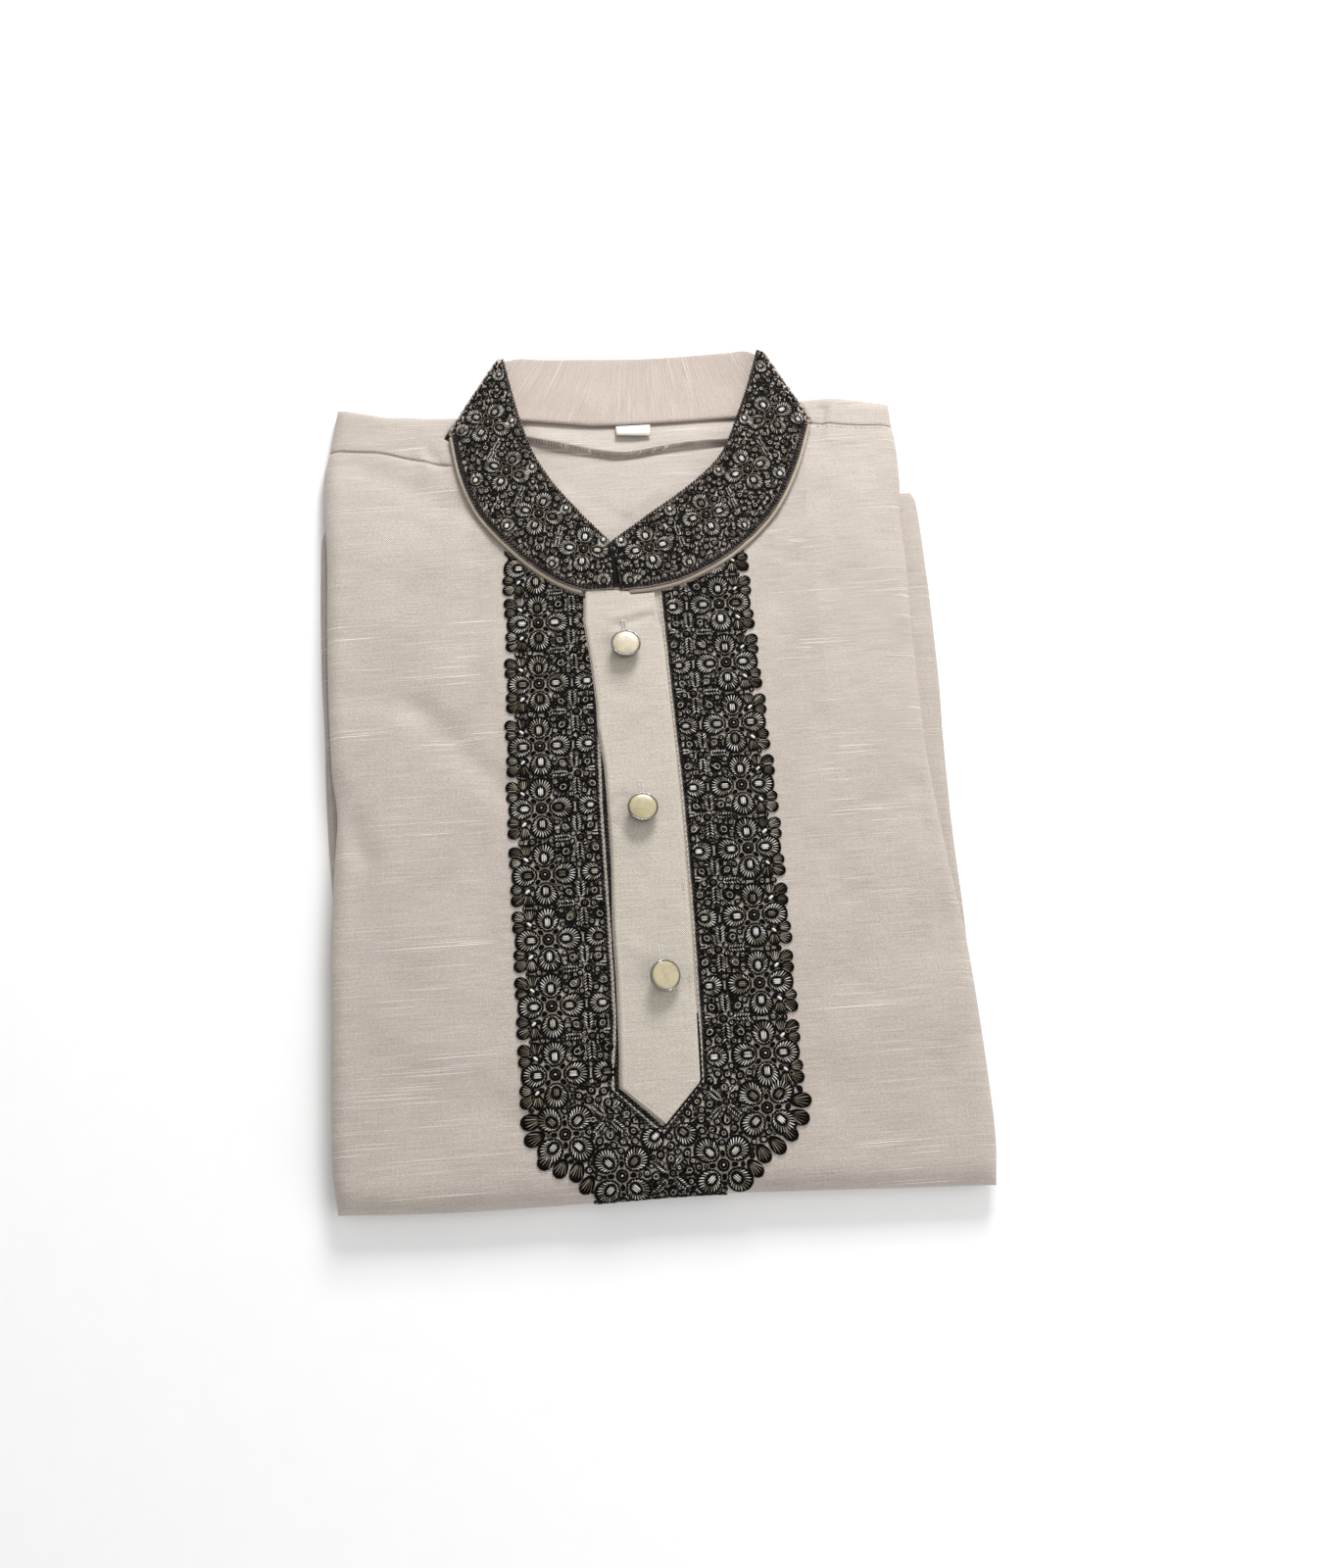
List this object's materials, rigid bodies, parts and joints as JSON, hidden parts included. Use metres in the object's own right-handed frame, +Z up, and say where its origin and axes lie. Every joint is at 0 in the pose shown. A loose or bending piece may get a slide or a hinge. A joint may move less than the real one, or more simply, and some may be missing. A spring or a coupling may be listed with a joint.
{
  "type": "folded kurta",
  "caption": "Short kurta folded flat on its back, with a stand collar, an embroidered bib round a pointed button placket and shank buttons.",
  "frame": {"origin": "centre of the bounding box in plan, on the surface that the folded garment lies on", "axes": "+X across the garment toward the wearer's left side as laid (viewer's right), +Y from the bottom fold toward the collar, +Z up out of the surface; the embroidered front faces +Z"},
  "size_m": [0.3169, 0.4572, 0.0291],
  "materials": {
    "cloth": "greige slub twill with a soft sheen",
    "collar_cloth": "plain inner face of the collar, same cloth",
    "placket_cloth": "same slub cloth, stitched down at its edges",
    "piping_cloth": "narrow corded piping of the same cloth",
    "thread": "black, taupe and silver-white embroidery thread",
    "label_tape": "bare woven tape",
    "button_metal": "polished gunmetal-silver",
    "button_inlay": "cream pearl-like inlay"
  },
  "bodies": {
    "root": {"hidden_layers": "cloth", "skirt_fold": "cloth", "front": "cloth", "shoulder_left": "cloth", "shoulder_right": "cloth", "back_neck": "cloth", "collar_band": "collar_cloth", "collar_embroidery_left": "thread", "collar_embroidery_right": "thread", "piping_left": "piping_cloth", "piping_right": "piping_cloth", "embroidery_bib": "thread", "placket_under": "cloth", "placket": "placket_cloth", "neck_label": "label_tape", "button_1_rim": "button_metal", "button_1_face": "button_inlay", "button_2_rim": "button_metal", "button_2_face": "button_inlay", "button_3_rim": "button_metal", "button_3_face": "button_inlay"}
  },
  "joints": []
}
